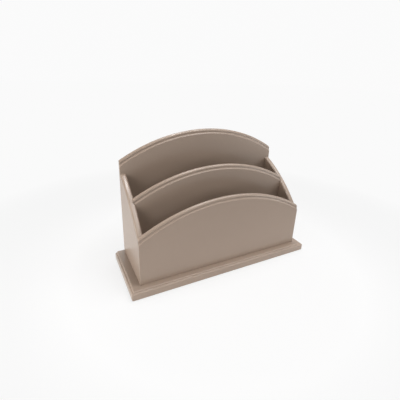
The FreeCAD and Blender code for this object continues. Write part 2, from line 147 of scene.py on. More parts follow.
def sprayed_paint_group():
    """Sprayed and rubbed-down paint: slow drift of tone, fine stipple, dust nibs, and arrises
    painted lighter, partly for thinner paint there and partly as a painted highlight.
    """
    group, given, result = new_group(
        "sprayed_paint", "ShaderNodeTree",
        [("Paint", "NodeSocketColor", TAUPE), ("Highlight Colour", "NodeSocketColor", ARRIS_HIGHLIGHT_TAUPE),
         ("Drift", "NodeSocketFloat", 0.06), ("Highlight Share", "NodeSocketFloat", 0.2),
         ("Sheen Roughness", "NodeSocketFloat", 0.295)],
        [("Colour", "NodeSocketColor"), ("Roughness", "NodeSocketFloat"),
         ("Height", "NodeSocketFloat")])
    place = add_node(group, "ShaderNodeTexCoord").outputs["Object"]
    mottle = noise(group, place, MOTTLE_SCALE, detail=5)
    about_mean = sums(group, "SUBTRACT", mottle, 0.5)
    cloud = sums(group, "SUBTRACT", noise(group, place, CLOUD_SCALE, detail=4), 0.5)
    drift = sums(group, "ADD", sums(group, "MULTIPLY", cloud, CLOUD_SHARE),
                 sums(group, "MULTIPLY", about_mean, MOTTLE_SHARE))
    shade = sums(group, "MULTIPLY_ADD", drift, given.outputs["Drift"], 1)
    toned = scaled(group, given.outputs["Paint"], shade)
    # Arrises are painted lighter and made duller: the lighter tone is partly thinner paint and
    # partly a painted highlight.
    softened = add_node(group, "ShaderNodeBevel", ARRIS_WIDTH, samples=6)
    sharp = add_node(group, "ShaderNodeNewGeometry").outputs["Normal"]
    turn = add_node(group, "ShaderNodeVectorMath", softened, sharp, operation="DOT_PRODUCT")
    arris = remap(group, turn.outputs["Value"], 0.995, 0.86, 0, 1)
    patchy = remap(group, mottle, 0.42, 0.66, 0.25, 1)
    patchy_arris = sums(group, "MULTIPLY", arris, patchy)
    thin_paint_and_highlight = sums(group, "MULTIPLY", patchy_arris, given.outputs["Highlight Share"])
    nibs = add_node(group, "ShaderNodeTexVoronoi", place, feature="F1")
    nibs.inputs["Scale"].default_value = NIB_SCALE
    nib = remap(group, nibs.outputs["Distance"], 0.03, 0.015, 0, 1)
    rare = add_node(group, "ShaderNodeSeparateColor", nibs.outputs["Color"])
    nib = sums(group, "MULTIPLY", nib, sums(group, "GREATER_THAN", rare, BARE_OF_NIBS))
    colour = blend_colours(group, thin_paint_and_highlight, toned, given.outputs["Highlight Colour"])
    feed(group, result.inputs["Colour"], colour)
    rough = sums(group, "MULTIPLY_ADD", about_mean, GLOSS_DRIFT, given.outputs["Sheen Roughness"])
    rough = sums(group, "MULTIPLY_ADD", thin_paint_and_highlight, ARRIS_DULLNESS, rough)
    feed(group, result.inputs["Roughness"], rough)
    stipple = noise(group, place, STIPPLE_SCALE)
    height = sums(group, "MULTIPLY_ADD", noise(group, place, WAVE_SCALE), WAVE_SHARE, stipple)
    feed(group, result.inputs["Height"], sums(group, "MULTIPLY_ADD", nib, NIB_SHARE, height))
    return group


SPRAYED_PAINT = sprayed_paint_group()


def new_material(name):
    material = bpy.data.materials.new(name)
    material.use_nodes = True
    return material, material.node_tree, material.node_tree.nodes["Principled BSDF"]


def satin_paint(name):
    material, tree, shader = new_material(name)
    paint = add_node(tree, "ShaderNodeGroup", node_tree=SPRAYED_PAINT)
    feed(tree, shader.inputs["Base Color"], paint.outputs["Colour"])
    feed(tree, shader.inputs["Roughness"], paint.outputs["Roughness"])
    add_relief(tree, shader, paint.outputs["Height"], strength=0.05, depth=0.12 * MM)
    shader.inputs["IOR"].default_value = 1.5
    return material


def arc(centre, radius, start, stop, steps):
    """Points on part of a circle, angles in degrees, both ends among them."""
    angles = [math.radians(start + (stop - start) * step / steps) for step in range(steps + 1)]
    return [(centre[0] + radius * math.cos(a), centre[1] + radius * math.sin(a)) for a in angles]


def join_rings(mesh, rings):
    """Builds the wall between each ring of points and the next; returns the rings' vertices."""
    loops = [[mesh.verts.new(point) for point in ring] for ring in rings]
    for lower, upper in zip(loops, loops[1:]):
        for here in range(len(lower)):
            after = (here + 1) % len(lower)
            mesh.faces.new((lower[here], lower[after], upper[after], upper[here]))
    return loops


WELD = 0.002 * MM


def finish_piece(mesh, name, material, sharp_angle=32):
    """Turns worked points into a closed, smoothly shaded piece with its crisp edges kept."""
    bmesh.ops.remove_doubles(mesh, verts=mesh.verts, dist=WELD)
    bmesh.ops.dissolve_degenerate(mesh, edges=mesh.edges, dist=WELD)
    bmesh.ops.recalc_face_normals(mesh, faces=mesh.faces)
    data = bpy.data.meshes.new(name)
    mesh.to_mesh(data)
    mesh.free()
    data.shade_smooth()
    data.set_sharp_from_angle(angle=math.radians(sharp_angle))
    data.materials.append(material)
    piece = bpy.data.objects.new(name, data)
    bpy.context.collection.objects.link(piece)
    return piece


PAINT = satin_paint("satin_taupe_paint")
plinth_low, plinth_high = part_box("base_plinth")
FOOT_BAND = 9.7 * MM
FOOT_ROUND = 1.746 * MM
TIER_STEP = 2.7 * MM
UPPER_ROUND = 1.596 * MM
CORNER_SHARE = 1.15
CORNER_TAPER = 0.8
TOP_CORNER_SHARE = 0.3
EASED = 0.45 * MM
PAINT_FILLET = 0.5 * MM
SUPPORT = 0.4 * MM


def tier_ring(inset, height, front_round, back_inset=0.0):
    """The plinth's outline at one height, with rounded front corners and eased back ones."""
    half = (plinth_high.x - plinth_low.x) / 2 - inset
    front, back = plinth_low.y + inset, plinth_high.y - back_inset
    ease = EASED * CORNER_TAPER
    corners = (
        arc((-half + front_round, front + front_round), front_round, 180, 270, 8)
        + arc((half - front_round, front + front_round), front_round, 270, 360, 8)
        + arc((half - ease, back - ease), ease, 0, 90, 3)
        + arc((-half + ease, back - ease), ease, 90, 180, 3))
    return [(x, y, height) for x, y in corners]


def plinth_mesh():
    mesh = bmesh.new()
    low, high = plinth_low.z, plinth_high.z
    foot_corner = FOOT_ROUND * CORNER_SHARE
    upper_corner = UPPER_ROUND * CORNER_SHARE
    rings = [tier_ring(EASED + SUPPORT, low, foot_corner, EASED + SUPPORT)]
    for out, up in arc((EASED, EASED), EASED, 270, 180, 4):
        rings.append(tier_ring(out, low + up, foot_corner, out))
    rings.append(tier_ring(0, low + EASED + SUPPORT, foot_corner))
    rings.append(tier_ring(0, low + FOOT_BAND - FOOT_ROUND - SUPPORT, foot_corner))
    for out, up in arc((FOOT_ROUND, FOOT_BAND - FOOT_ROUND), FOOT_ROUND, 180, 90, 8):
        rings.append(tier_ring(out, low + up, foot_corner - out * CORNER_TAPER))
    inner_corner = foot_corner - FOOT_ROUND * CORNER_TAPER
    rings.append(tier_ring(FOOT_ROUND + SUPPORT, low + FOOT_BAND, inner_corner))
    fillet = min(PAINT_FILLET, high - low - FOOT_BAND - UPPER_ROUND)
    for out, up in arc((TIER_STEP - fillet, FOOT_BAND + fillet), fillet, 270, 360, 4):
        rings.append(tier_ring(out, low + up, upper_corner))
    centre = (TIER_STEP + UPPER_ROUND, high - low - UPPER_ROUND)
    for out, up in arc(centre, UPPER_ROUND, 180, 90, 10):
        into_ease = max(0, (low + up - high + EASED) / EASED)
        back = EASED * (1 - math.sqrt(max(0, 1 - into_ease ** 2)))
        corner = upper_corner - (out - TIER_STEP) * CORNER_TAPER
        rings.append(tier_ring(out, low + up, corner, back))
    top_inset = TIER_STEP + UPPER_ROUND + SUPPORT
    rings.append(tier_ring(top_inset, high, upper_corner * TOP_CORNER_SHARE, EASED + SUPPORT))
    loops = join_rings(mesh, rings)
    mesh.faces.new(loops[-1])
    close_underside(mesh, loops[0])
    return mesh


# Where the screws go up through the plinth: on the middle line of each side board.
screws_low, screws_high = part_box("base_screws")
HEAD = 5.8 * MM
HEAD_PLAY = 0.06 * MM
CLEARANCE_HOLE = 3.4 * MM
HOLE_DEPTH = 2 * (HEAD - CLEARANCE_HOLE)
HOLE_SIDES = 24
SCREW_X = (screws_high.x - screws_low.x) / 2 - HEAD / 2
SCREW_Y = [screws_low.y + HEAD / 2, screws_high.y - HEAD / 2]
SCREW_PLACES = [(side * SCREW_X, y) for side in (-1, 1) for y in SCREW_Y]


def close_underside(mesh, rim):
    """Fills the plinth's underside round four countersunk holes, and sinks the holes."""
    sink = (HEAD - CLEARANCE_HOLE) / 2
    bore = CLEARANCE_HOLE / 2
    levels = ((HEAD / 2 + HEAD_PLAY, 0), (bore, sink), (bore, HOLE_DEPTH))
    mouths = []
    for centre in SCREW_PLACES:
        rings = []
        for radius, depth in levels:
            circle = arc(centre, radius, 360, 360 / HOLE_SIDES, HOLE_SIDES - 1)
            rings.append([(x, y, plinth_low.z + depth) for x, y in circle])
        loops = join_rings(mesh, rings)
        mesh.faces.new(loops[-1])
        mouths.append(loops[0])
    edges = [mesh.edges.get((loop[i], loop[(i + 1) % len(loop)]))
             for loop in [rim] + mouths for i in range(len(loop))]
    bmesh.ops.triangle_fill(mesh, use_beauty=True, edges=edges, normal=(0, 0, -1))


plinth = finish_piece(plinth_mesh(), "plinth", PAINT)
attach(plinth, "root")
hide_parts("base_plinth")


# Side boards: 8 mm boards with a long sloping top that bows up a little, both top edges
# rounded over. A groove in the inner face holds an end of the divider, and the front and
# back panels cover their ends.
SIDE_ROUND = 2.6 * MM
FOOT_EASED = 0.15 * MM
DADO_DEPTH = 2.3 * MM
SIDE_FRONT_HEIGHT = 66.7 * MM
SIDE_BACK_HEIGHT = 126.1 * MM
SIDE_BOW = 5.3 * MM
SIDE_STEPS = 60
STATION_GAP = 0.2 * MM
floor_of_boards = plinth_high.z
divider_low, divider_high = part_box("middle_divider")


def foot_profile():
    """The foot of a board, from beneath it up to its face: (distance from the face, height)."""
    eased = arc((FOOT_EASED, FOOT_EASED), FOOT_EASED, 270, 180, 4)
    return [(FOOT_EASED + SUPPORT, 0.0)] + eased + [(0.0, FOOT_EASED + SUPPORT)]


def side_mesh(label, outward):
    """A side board, made of sections across it from its front end to its back end."""
    low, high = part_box(label)
    thick = high.x - low.x
    inner = low.x if outward > 0 else high.x
    length = high.y - low.y
    rise = SIDE_BACK_HEIGHT - SIDE_FRONT_HEIGHT
    radius = ((length ** 2 + rise ** 2) / 4 + SIDE_BOW ** 2) / (2 * SIDE_BOW)
    middle = Vector((low.y + length / 2, floor_of_boards + SIDE_FRONT_HEIGHT + rise / 2))
    across = Vector((rise, -length)).normalized()
    centre = middle + across * (radius - SIDE_BOW)
    crown = arc((SIDE_ROUND, -SIDE_ROUND), SIDE_ROUND, 180, 90, 10)
    section = [("foot", out, up) for out, up in foot_profile()]
    section.append(("top", 0.0, -SIDE_ROUND - SUPPORT))
    section += [("top", out, up) for out, up in crown]
    section.append(("top", SIDE_ROUND + SUPPORT, 0.0))
    section += [(kind, thick - out, up) for kind, out, up in reversed(section)]
    near, far = divider_low.y, divider_high.y
    ys = [low.y + length * step / SIDE_STEPS for step in range(SIDE_STEPS + 1)]
    ys = [y for y in ys if min(abs(y - near), abs(y - far)) > STATION_GAP]
    stations = [(y, near < y < far) for y in ys]
    # The groove's edges are steps in the inner face, so there are two stations at each.
    edges = [(near, False), (near, True), (far, True), (far, False)]
    order = {edge: number for number, edge in enumerate(edges)}
    stations = sorted(stations + edges, key=lambda place: (place[0], order.get(place, 0)))
    rings = []
    for y, grooved in stations:
        ring = []
        for kind, out, up in section:
            from_inner = max(out, DADO_DEPTH) if grooved else out
            if kind == "foot":
                z = floor_of_boards + up
            else:
                z = centre.y + math.sqrt((radius + up) ** 2 - (y - centre.x) ** 2)
            ring.append((inner + outward * from_inner, y, z))
        rings.append(ring)
    mesh = bmesh.new()
    loops = join_rings(mesh, rings)
    mesh.faces.new(loops[0])
    mesh.faces.new(loops[-1])
    return mesh


for label, outward in (("left_side", -1), ("right_side", 1)):
    side = finish_piece(side_mesh(label, outward), label + "_board", PAINT)
    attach(side, "root")
    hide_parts(label)


# Arched boards: front panel, divider and back panel, all 6 mm thick and cut to one template,
# so the arch has one radius. An ogee is run along the front of each arch: a rounded nose, a
# narrow quirk, and a hollow that ends in a crisp edge on the face. The back edge is eased.
ARCH_RADIUS = 246.88 * MM
QUIRK = 1.3 * MM
NOSE_FOOT = -4.1 * MM
NOSE_RADIUS = 3.196 * MM
COVE_FOOT = -6.6 * MM
COVE_RADIUS = 3.054 * MM
COVE_ARRIS = 0.15 * MM
QUIRK_SLOT = 0.7 * MM
SLOT_LOW = 0.1 * MM
SLOT_HIGH = 0.4 * MM
BACK_ARRIS = 1.2 * MM
COLUMNS = 120
END_COLUMNS = 4
NET_WELD = 0.001 * MM


def arched_board_section(thick):
    """Half-way section of a board: (rides the arch, distance from the face, height)."""
    foot = [(0, out, up) for out, up in foot_profile()]
    cove_centre = (QUIRK - COVE_RADIUS, NOSE_FOOT)
    cove_start = math.degrees(math.asin((COVE_FOOT - NOSE_FOOT) / COVE_RADIUS))
    nose_centre = (QUIRK + NOSE_RADIUS, -NOSE_RADIUS)
    arris_centre = (thick - BACK_ARRIS, -BACK_ARRIS)
    top = [(0.0, COVE_FOOT - 6 * COVE_ARRIS), (0.0, COVE_FOOT - COVE_ARRIS)]
    top += arc(cove_centre, COVE_RADIUS, cove_start + 2, 0, 8)
    top += [(QUIRK + QUIRK_SLOT, NOSE_FOOT + up) for up in (SLOT_LOW, SLOT_HIGH)]
    top += arc(nose_centre, NOSE_RADIUS, 188, 90, 13)
    top += arc(arris_centre, BACK_ARRIS, 90, 0, 6)
    top.append((thick, -BACK_ARRIS - SUPPORT))
    back = [(0, thick - out, up) for _, out, up in reversed(foot)]
    return foot + [(1, out, up) for out, up in top] + back


def section_object(name, thick, face):
    """The section as a ring of points that carry which way is outward at each."""
    section = arched_board_section(thick)
    points = [Vector((0, face + out, up)) for _, out, up in section]
    count = len(points)
    data = bpy.data.meshes.new(name)
    data.from_pydata(points, [(i, (i + 1) % count) for i in range(count)], [])
    rides = data.attributes.new("rides_arch", "FLOAT", "POINT")
    outward = data.attributes.new("outward", "FLOAT_VECTOR", "POINT")
    # Any height of wall between the foot and the arch gives the same outward directions.
    wall = 50 * MM
    flat = [(out, up + (wall if ride else 0)) for ride, out, up in section]
    for i in range(count):
        before, after = flat[i - 1], flat[(i + 1) % count]
        along = Vector((after[0] - before[0], after[1] - before[1])).normalized()
        rides.data[i].value = section[i][0]
        outward.data[i].vector = (0, -along.y, along.x)
    piece = bpy.data.objects.new(name, data)
    bpy.context.collection.objects.link(piece)
    return piece


def arched_board_tree():
    """Carries a section from end to end of a board, its top following the arch."""
    tree, given, result = new_group(
        "arched_board", "GeometryNodeTree",
        [("Section", "NodeSocketGeometry", None), ("Half Width", "NodeSocketFloat", 0.13),
         ("Arch Radius", "NodeSocketFloat", ARCH_RADIUS), ("Arch Top", "NodeSocketFloat", 0.1),
         ("Foot", "NodeSocketFloat", 0.0), ("End Ease", "NodeSocketFloat", EASED),
         ("Columns", "NodeSocketInt", COLUMNS), ("End Columns", "NodeSocketInt", END_COLUMNS),
         ("Paint", "NodeSocketMaterial", None)],
        [("Board", "NodeSocketGeometry")])
    tree.is_modifier = True
    give = given.outputs
    count = add_node(tree, "GeometryNodeAttributeDomainSize", give["Section"])
    rows = sums(tree, "ADD", count, 1)
    net = add_node(tree, "GeometryNodeMeshGrid", 1.0, 1.0, give["Columns"], rows)
    index = add_node(tree, "GeometryNodeInputIndex")
    column = sums(tree, "FLOOR", sums(tree, "DIVIDE", sums(tree, "ADD", index, 0.5), rows))
    passed = sums(tree, "MULTIPLY", column, rows)
    row = sums(tree, "FLOORED_MODULO", sums(tree, "SUBTRACT", index, passed), count)
    read = {}
    for name, kind in (("rides_arch", "FLOAT"), ("outward", "FLOAT_VECTOR")):
        named = add_node(tree, "GeometryNodeInputNamedAttribute", name, data_type=kind)
        read[name] = add_node(tree, "GeometryNodeSampleIndex", give["Section"], named, row,
                              data_type=kind, domain="POINT")
    spot = add_node(tree, "GeometryNodeSampleIndex", give["Section"],
                    add_node(tree, "GeometryNodeInputPosition"), row,
                    data_type="FLOAT_VECTOR", domain="POINT")
    last = sums(tree, "SUBTRACT", give["Columns"], 1)
    from_end = sums(tree, "MINIMUM", column, sums(tree, "SUBTRACT", last, column))
    turn = remap(tree, from_end, 0.0, give["End Columns"], math.pi / 2, 0.0)
    middle = sums(tree, "MULTIPLY", last, 0.5)
    side = sums(tree, "SIGN", sums(tree, "SUBTRACT", column, middle))
    flat_half = sums(tree, "SUBTRACT", give["Half Width"], give["End Ease"])
    last_flat = sums(tree, "SUBTRACT", last, give["End Columns"])
    even = remap(tree, column, give["End Columns"], last_flat,
                 sums(tree, "MULTIPLY", flat_half, -1), flat_half)
    reach = sums(tree, "MULTIPLY", sums(tree, "SINE", turn), give["End Ease"])
    x = sums(tree, "ADD", even, sums(tree, "MULTIPLY", reach, side))
    short = sums(tree, "SUBTRACT", 1.0, sums(tree, "COSINE", turn))
    shrink = sums(tree, "MULTIPLY", short, give["End Ease"])
    inward = scaled(tree, read["outward"], sums(tree, "MULTIPLY", shrink, -1))
    moved = add_node(tree, "ShaderNodeVectorMath", spot, inward, operation="ADD")
    parts = add_node(tree, "ShaderNodeSeparateXYZ", moved)
    radius = sums(tree, "ADD", give["Arch Radius"], parts.outputs["Z"])
    squares = sums(tree, "MULTIPLY", radius, radius)
    squares = sums(tree, "SUBTRACT", squares, sums(tree, "MULTIPLY", x, x))
    centre = sums(tree, "SUBTRACT", give["Arch Top"], give["Arch Radius"])
    on_arch = sums(tree, "ADD", sums(tree, "SQRT", squares), centre)
    low_parts = add_node(tree, "ShaderNodeSeparateXYZ", spot)
    on_foot = sums(tree, "ADD", give["Foot"], low_parts.outputs["Z"])
    rides = read["rides_arch"]
    z = add_node(tree, "ShaderNodeMix", rides, on_foot, on_arch, data_type="FLOAT")
    place = add_node(tree, "ShaderNodeCombineXYZ", x, parts.outputs["Y"], z)
    bent = add_node(tree, "GeometryNodeSetPosition", net)
    feed(tree, bent.inputs["Position"], place)
    sewn = add_node(tree, "GeometryNodeMergeByDistance", bent)
    feed(tree, sewn.inputs["Distance"], NET_WELD)
    real = add_node(tree, "GeometryNodeRealizeInstances", sewn)
    painted = add_node(tree, "GeometryNodeSetMaterial", real)
    feed(tree, painted.inputs["Material"], give["Paint"])
    feed(tree, result.inputs["Board"], painted)
    return tree


def grow(piece, tree, values):
    """Runs a Geometry Nodes tree on a piece and returns the plain mesh that comes of it."""
    growth = piece.modifiers.new("growth", "NODES")
    growth.node_group = tree
    for socket in tree.interface.items_tree:
        if socket.in_out == "INPUT" and socket.name in values:
            growth[socket.identifier] = values[socket.name]
    seen = piece.evaluated_get(bpy.context.evaluated_depsgraph_get())
    grown = bpy.data.meshes.new_from_object(seen)
    piece.modifiers.clear()
    start = piece.data
    bpy.data.objects.remove(piece)
    bpy.data.meshes.remove(start)
    return grown


ARCHED_BOARD = arched_board_tree()
for label, name in (("front_panel", "front_board"), ("middle_divider", "divider_board"),
                    ("back_panel", "back_board")):
    low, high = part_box(label)
    half = (high.x - low.x) / 2
    section = section_object(label + "_section", high.y - low.y, low.y)
    grown = grow(section, ARCHED_BOARD, {
        "Half Width": half, "Arch Radius": ARCH_RADIUS, "Arch Top": high.z, "Foot": low.z,
        "End Ease": EASED, "Columns": COLUMNS, "End Columns": END_COLUMNS, "Paint": PAINT})
    board_mesh = bmesh.new()
    board_mesh.from_mesh(grown)
    bpy.data.meshes.remove(grown)
    bmesh.ops.holes_fill(board_mesh, edges=[edge for edge in board_mesh.edges if edge.is_boundary])
    board = finish_piece(board_mesh, name, PAINT)
    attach(board, "root")
    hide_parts(label)


# Base screws: four zinc-plated countersunk wood screws with a cross recess, driven up through
# the plinth into the side boards until their heads lie flush with its underside.
SCREW_LENGTH = 25 * MM
SCREW_NECK = 1.2 * MM
SCREW_ROOT = 1.15 * MM
SCREW_FILLET = 0.05 * MM
THREAD_DEPTH = 0.33 * MM
THREAD_START = 9 * MM
THREAD_STEP = 0.12 * MM
THREAD_RUN_IN = 8
POINT_LENGTH = 3.5 * MM
STEPS_ROUND = 36
RECESS_TAPER = 0.4
RIM_GAP = 0.08 * MM
# The rounded rim of the head, from its flat face to its cone: (out from the rim, up).
HEAD_RIM = [(-0.45 * MM, 0), (-0.1 * MM, 0), (-0.03 * MM, 0.03 * MM), (0, 0.12 * MM),
            (-0.02 * MM, 0.22 * MM)]


def screw_outline():
    """Half the outline of a screw, head to point, and how much of the thread each point has."""
    rim = HEAD / 2 - RIM_GAP
    points = [(0, 0, 0)] + [(rim + out, up, 0) for out, up in HEAD_RIM]
    cone_foot = HEAD_RIM[-1][1] + rim - SCREW_NECK
    points.append((SCREW_NECK + SCREW_FILLET, cone_foot - SCREW_FILLET, 0))
    points.append((SCREW_NECK, cone_foot + 3 * SCREW_FILLET, 0))
    points.append((SCREW_NECK, THREAD_START - 8 * SCREW_FILLET, 0))
    points.append((SCREW_ROOT, THREAD_START, 0))
    count = round((SCREW_LENGTH - THREAD_START) / THREAD_STEP)
    for step in range(1, count):
        up = THREAD_START + step * THREAD_STEP
        left = min(1, (SCREW_LENGTH - up) / POINT_LENGTH)
        points.append((SCREW_ROOT * left, up, min(1, step / THREAD_RUN_IN) * left))
    return points + [(0, SCREW_LENGTH, 0)]


def screw_tree():
    """Turns the outline on a lathe, winds the thread, cuts the recess and sets out the screws."""
    tree, given, result = new_group(
        "countersunk_screws", "GeometryNodeTree",
        [("Outline", "NodeSocketGeometry", None), ("Steps Round", "NodeSocketInt", STEPS_ROUND),
         ("Pitch", "NodeSocketFloat", 1.3 * MM), ("Thread Depth", "NodeSocketFloat", THREAD_DEPTH),
         ("Recess Span", "NodeSocketFloat", 3 * MM), ("Recess Width", "NodeSocketFloat", 0.7 * MM),
         ("Recess Depth", "NodeSocketFloat", 0.9 * MM), ("Across", "NodeSocketFloat", 0.25),
         ("Along", "NodeSocketFloat", 0.03), ("Middle", "NodeSocketVector", (0, 0, 0)),
         ("Seed", "NodeSocketInt", 4), ("Steel", "NodeSocketMaterial", None)],
        [("Screws", "NodeSocketGeometry")])
    tree.is_modifier = True
    give = given.outputs
    count = add_node(tree, "GeometryNodeAttributeDomainSize", give["Outline"])
    columns = sums(tree, "ADD", give["Steps Round"], 1)
    net = add_node(tree, "GeometryNodeMeshGrid", 1.0, 1.0, columns, count)
    index = add_node(tree, "GeometryNodeInputIndex")
    column = sums(tree, "FLOOR", sums(tree, "DIVIDE", sums(tree, "ADD", index, 0.5), count))
    row = sums(tree, "SUBTRACT", index, sums(tree, "MULTIPLY", column, count))
    share = sums(tree, "DIVIDE", column, give["Steps Round"])
    spot = add_node(tree, "GeometryNodeSampleIndex", give["Outline"],
                    add_node(tree, "GeometryNodeInputPosition"), row,
                    data_type="FLOAT_VECTOR", domain="POINT")
    spot = add_node(tree, "ShaderNodeSeparateXYZ", spot)
    named = add_node(tree, "GeometryNodeInputNamedAttribute", "thread", data_type="FLOAT")
    thread = add_node(tree, "GeometryNodeSampleIndex", give["Outline"], named, row,
                      data_type="FLOAT", domain="POINT")
    turns = sums(tree, "DIVIDE", spot.outputs["Z"], give["Pitch"])
    wound = sums(tree, "FRACT", sums(tree, "SUBTRACT", turns, share))
    ridge = sums(tree, "ABSOLUTE", sums(tree, "SUBTRACT", wound, 0.5))
    crest = remap(tree, ridge, 0.26, 0.04, 0.0, give["Thread Depth"])
    radius = sums(tree, "ADD", spot.outputs["X"], sums(tree, "MULTIPLY", crest, thread))
    angle = sums(tree, "MULTIPLY", share, math.tau)
    x = sums(tree, "MULTIPLY", radius, sums(tree, "COSINE", angle))
    y = sums(tree, "MULTIPLY", radius, sums(tree, "SINE", angle))
    place = add_node(tree, "ShaderNodeCombineXYZ", x, y, spot.outputs["Z"])
    turned = add_node(tree, "GeometryNodeSetPosition", net)
    feed(tree, turned.inputs["Position"], place)
    closed = add_node(tree, "GeometryNodeMergeByDistance", turned)
    feed(tree, closed.inputs["Distance"], NET_WELD)
    double_depth = sums(tree, "MULTIPLY", give["Recess Depth"], 2)
    arm_size = add_node(tree, "ShaderNodeCombineXYZ", give["Recess Span"], give["Recess Width"],
                        double_depth)
    arm = add_node(tree, "GeometryNodeMeshCube", arm_size, 2, 2, 3)
    now = add_node(tree, "GeometryNodeInputPosition")
    height = add_node(tree, "ShaderNodeSeparateXYZ", now).outputs["Z"]
    depth = sums(tree, "DIVIDE", height, give["Recess Depth"])
    narrow = sums(tree, "SUBTRACT", 1.0, sums(tree, "MULTIPLY", depth, RECESS_TAPER))
    scale = add_node(tree, "ShaderNodeCombineXYZ", narrow, narrow, 1.0)
    tapered = add_node(tree, "GeometryNodeSetPosition", arm)
    feed(tree, tapered.inputs["Position"],
         add_node(tree, "ShaderNodeVectorMath", now, scale, operation="MULTIPLY"))
    crossing = add_node(tree, "GeometryNodeTransform", tapered)
    crossing.inputs["Rotation"].default_value = (0, 0, math.pi / 2)
    cut = add_node(tree, "GeometryNodeMeshBoolean", operation="DIFFERENCE", solver="EXACT")
    feed(tree, cut.inputs["Mesh 1"], closed)
    feed(tree, cut.inputs["Mesh 2"], tapered)
    feed(tree, cut.inputs["Mesh 2"], crossing)
    corners = add_node(tree, "GeometryNodeMeshGrid", give["Across"], give["Along"], 2, 2)
    holes = add_node(tree, "GeometryNodeTransform", corners)
    feed(tree, holes.inputs["Translation"], give["Middle"])
    driven = add_node(tree, "GeometryNodeInstanceOnPoints", holes)
    feed(tree, driven.inputs["Instance"], cut)
    spin = add_node(tree, "FunctionNodeRandomValue", data_type="FLOAT_VECTOR")
    feed(tree, spin.inputs["Min"], (0, 0, 0))
    feed(tree, spin.inputs["Max"], (0, 0, math.pi))
    feed(tree, spin.inputs["Seed"], give["Seed"])
    feed(tree, driven.inputs["Rotation"], spin)
    real = add_node(tree, "GeometryNodeRealizeInstances", driven)
    plated = add_node(tree, "GeometryNodeSetMaterial", real)
    feed(tree, plated.inputs["Material"], give["Steel"])
    feed(tree, result.inputs["Screws"], plated)
    return tree


def rubbed_metal_group():
    """Plated or bare steel: fine scratches along it and dull patches."""
    group, given, result = new_group(
        "rubbed_metal", "ShaderNodeTree",
        [("Metal", "NodeSocketColor", (0.6, 0.59, 0.56, 1)),
         ("Dull", "NodeSocketColor", (0.4, 0.39, 0.36, 1)),
         ("Scratch Scale", "NodeSocketFloat", 3000.0), ("Patch Scale", "NodeSocketFloat", 500.0)],
        [("Colour", "NodeSocketColor"), ("Roughness", "NodeSocketFloat"),
         ("Height", "NodeSocketFloat")])
    place = add_node(group, "ShaderNodeTexCoord").outputs["Object"]
    long_way = add_node(group, "ShaderNodeMapping", place)
    long_way.inputs["Scale"].default_value = (1, 0.12, 1)
    scratch = noise(group, long_way, given.outputs["Scratch Scale"], detail=3)
    patch = noise(group, place, given.outputs["Patch Scale"], detail=4)
    dull = remap(group, patch, 0.45, 0.7, 0, 1)
    metal = blend_colours(group, dull, given.outputs["Metal"], given.outputs["Dull"])
    feed(group, result.inputs["Colour"], metal)
    feed(group, result.inputs["Roughness"], sums(group, "MULTIPLY_ADD", dull, 0.25, 0.26))
    feed(group, result.inputs["Height"], scratch)
    return group


RUBBED_METAL = rubbed_metal_group()


def steel(name, metal, dull):
    material, tree, shader = new_material(name)
    face = add_node(tree, "ShaderNodeGroup", node_tree=RUBBED_METAL)
    face.inputs["Metal"].default_value = metal
    face.inputs["Dull"].default_value = dull
    feed(tree, shader.inputs["Base Color"], face.outputs["Colour"])
    feed(tree, shader.inputs["Roughness"], face.outputs["Roughness"])
    add_relief(tree, shader, face.outputs["Height"], strength=0.3, depth=0.02 * MM)
    shader.inputs["Metallic"].default_value = 1
    return material


ZINC = steel("zinc_plated_steel", (0.62, 0.61, 0.58, 1), (0.43, 0.42, 0.40, 1))
outline = screw_outline()
outline_data = bpy.data.meshes.new("screw_outline")
outline_data.from_pydata([(out, 0, up) for out, up, _ in outline],
                         [(i, i + 1) for i in range(len(outline) - 1)], [])
thread = outline_data.attributes.new("thread", "FLOAT", "POINT")
for number, (_, _, share) in enumerate(outline):
    thread.data[number].value = share
outline_piece = bpy.data.objects.new("screw_outline", outline_data)
bpy.context.collection.objects.link(outline_piece)
grown = grow(outline_piece, screw_tree(), {
    "Across": 2 * SCREW_X, "Along": SCREW_Y[1] - SCREW_Y[0],
    "Middle": (0, (SCREW_Y[0] + SCREW_Y[1]) / 2, plinth_low.z), "Seed": 4, "Steel": ZINC})
screw_mesh = bmesh.new()
screw_mesh.from_mesh(grown)
bpy.data.meshes.remove(grown)
screws = finish_piece(screw_mesh, "base_wood_screws", ZINC, 28)
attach(screws, "root")
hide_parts("base_screws")


# Panel pins: headless pins of flat steel wire through the panels into the side boards, and
# through the side boards into the divider, sunk below the face, filled and painted over.
BARE_STEEL = steel("bare_pin_steel", (0.50, 0.49, 0.48, 1), (0.34, 0.33, 0.32, 1))
for label in ("front_panel_pins", "back_panel_pins", "divider_pins"):
    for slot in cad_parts[label].material_slots:
        slot.material = BARE_STEEL


# Felt pads: four stick-on squares of pressed felt under the plinth, near its corners, so the
# rack stands level and doesn't mark the table.
PAD_LABELS = ["felt_pad_front_left", "felt_pad_front_right",
              "felt_pad_back_left", "felt_pad_back_right"]
pad_boxes = [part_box(label) for label in PAD_LABELS]
PAD_SIDE = pad_boxes[0][1].x - pad_boxes[0][0].x
PAD_THICK = pad_boxes[0][1].z - pad_boxes[0][0].z
CUT_SIZE = 0.985
FIBRE_SCALE = 1300


